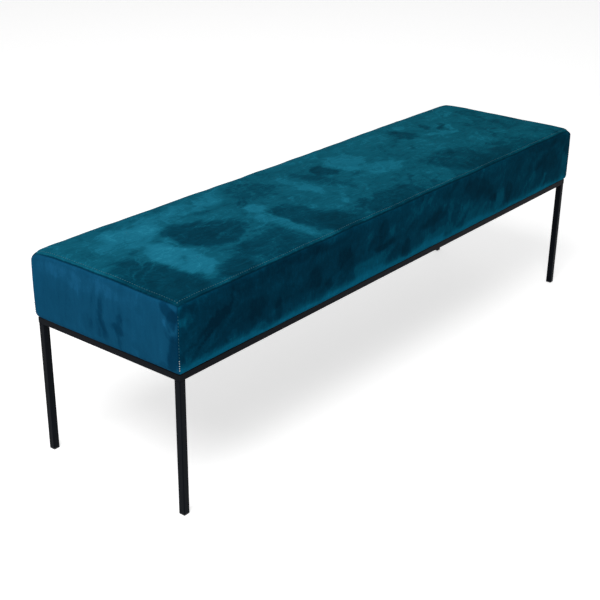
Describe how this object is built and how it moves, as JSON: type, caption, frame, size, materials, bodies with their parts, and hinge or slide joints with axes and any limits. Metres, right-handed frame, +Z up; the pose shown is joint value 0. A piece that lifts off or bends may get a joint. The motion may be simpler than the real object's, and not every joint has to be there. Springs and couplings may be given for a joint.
{
  "type": "upholstered bench",
  "caption": "Long upholstered bench: a block seat covered in teal velvet with topstitched seams, on a slim black square-tube frame with straight corner legs.",
  "frame": {"origin": "on the floor, below the middle of the seat", "axes": "+X along the bench, -Y the long front, +Z up"},
  "size_m": [1.5, 0.4, 0.451],
  "materials": {
    "frame_powder_coat": "satin black powder coat with a fine texture",
    "plug_plastic": "moulded black plastic",
    "zinc_steel": "bright zinc plate",
    "staple_wire": "galvanised wire",
    "board_plywood": "plain birch plywood",
    "seat_foam": "open-cell upholstery foam",
    "seat_wadding": "lofted polyester fibre",
    "velvet": "short-pile velvet, brushed",
    "dust_cloth": "spun-bonded black cloth"
  },
  "bodies": {
    "root": {"corner_plate_back_left": "frame_powder_coat", "corner_plate_back_right": "frame_powder_coat", "corner_plate_front_left": "frame_powder_coat", "corner_plate_front_right": "frame_powder_coat", "corner_weld_beads": "frame_powder_coat", "cover_back_panel": "velvet", "cover_front_panel": "velvet", "cover_left_panel": "velvet", "cover_right_panel": "velvet", "cover_staples": "staple_wire", "cover_top_panel": "velvet", "dust_cover": "dust_cloth", "dust_cover_staples": "staple_wire", "fibre_wrap": "seat_wadding", "foam_block": "seat_foam", "foot_plug_back_left": "plug_plastic", "foot_plug_back_right": "plug_plastic", "foot_plug_front_left": "plug_plastic", "foot_plug_front_right": "plug_plastic", "leg_back_left": "frame_powder_coat", "leg_back_right": "frame_powder_coat", "leg_front_left": "frame_powder_coat", "leg_front_right": "frame_powder_coat", "middle_tab_back_left": "frame_powder_coat", "middle_tab_back_right": "frame_powder_coat", "middle_tab_front_left": "frame_powder_coat", "middle_tab_front_right": "frame_powder_coat", "rail_back": "frame_powder_coat", "rail_front": "frame_powder_coat", "rail_left": "frame_powder_coat", "rail_right": "frame_powder_coat", "screw_washers": "zinc_steel", "seat_board": "board_plywood", "seat_screws": "zinc_steel", "t_nuts": "zinc_steel"}
  },
  "joints": []
}
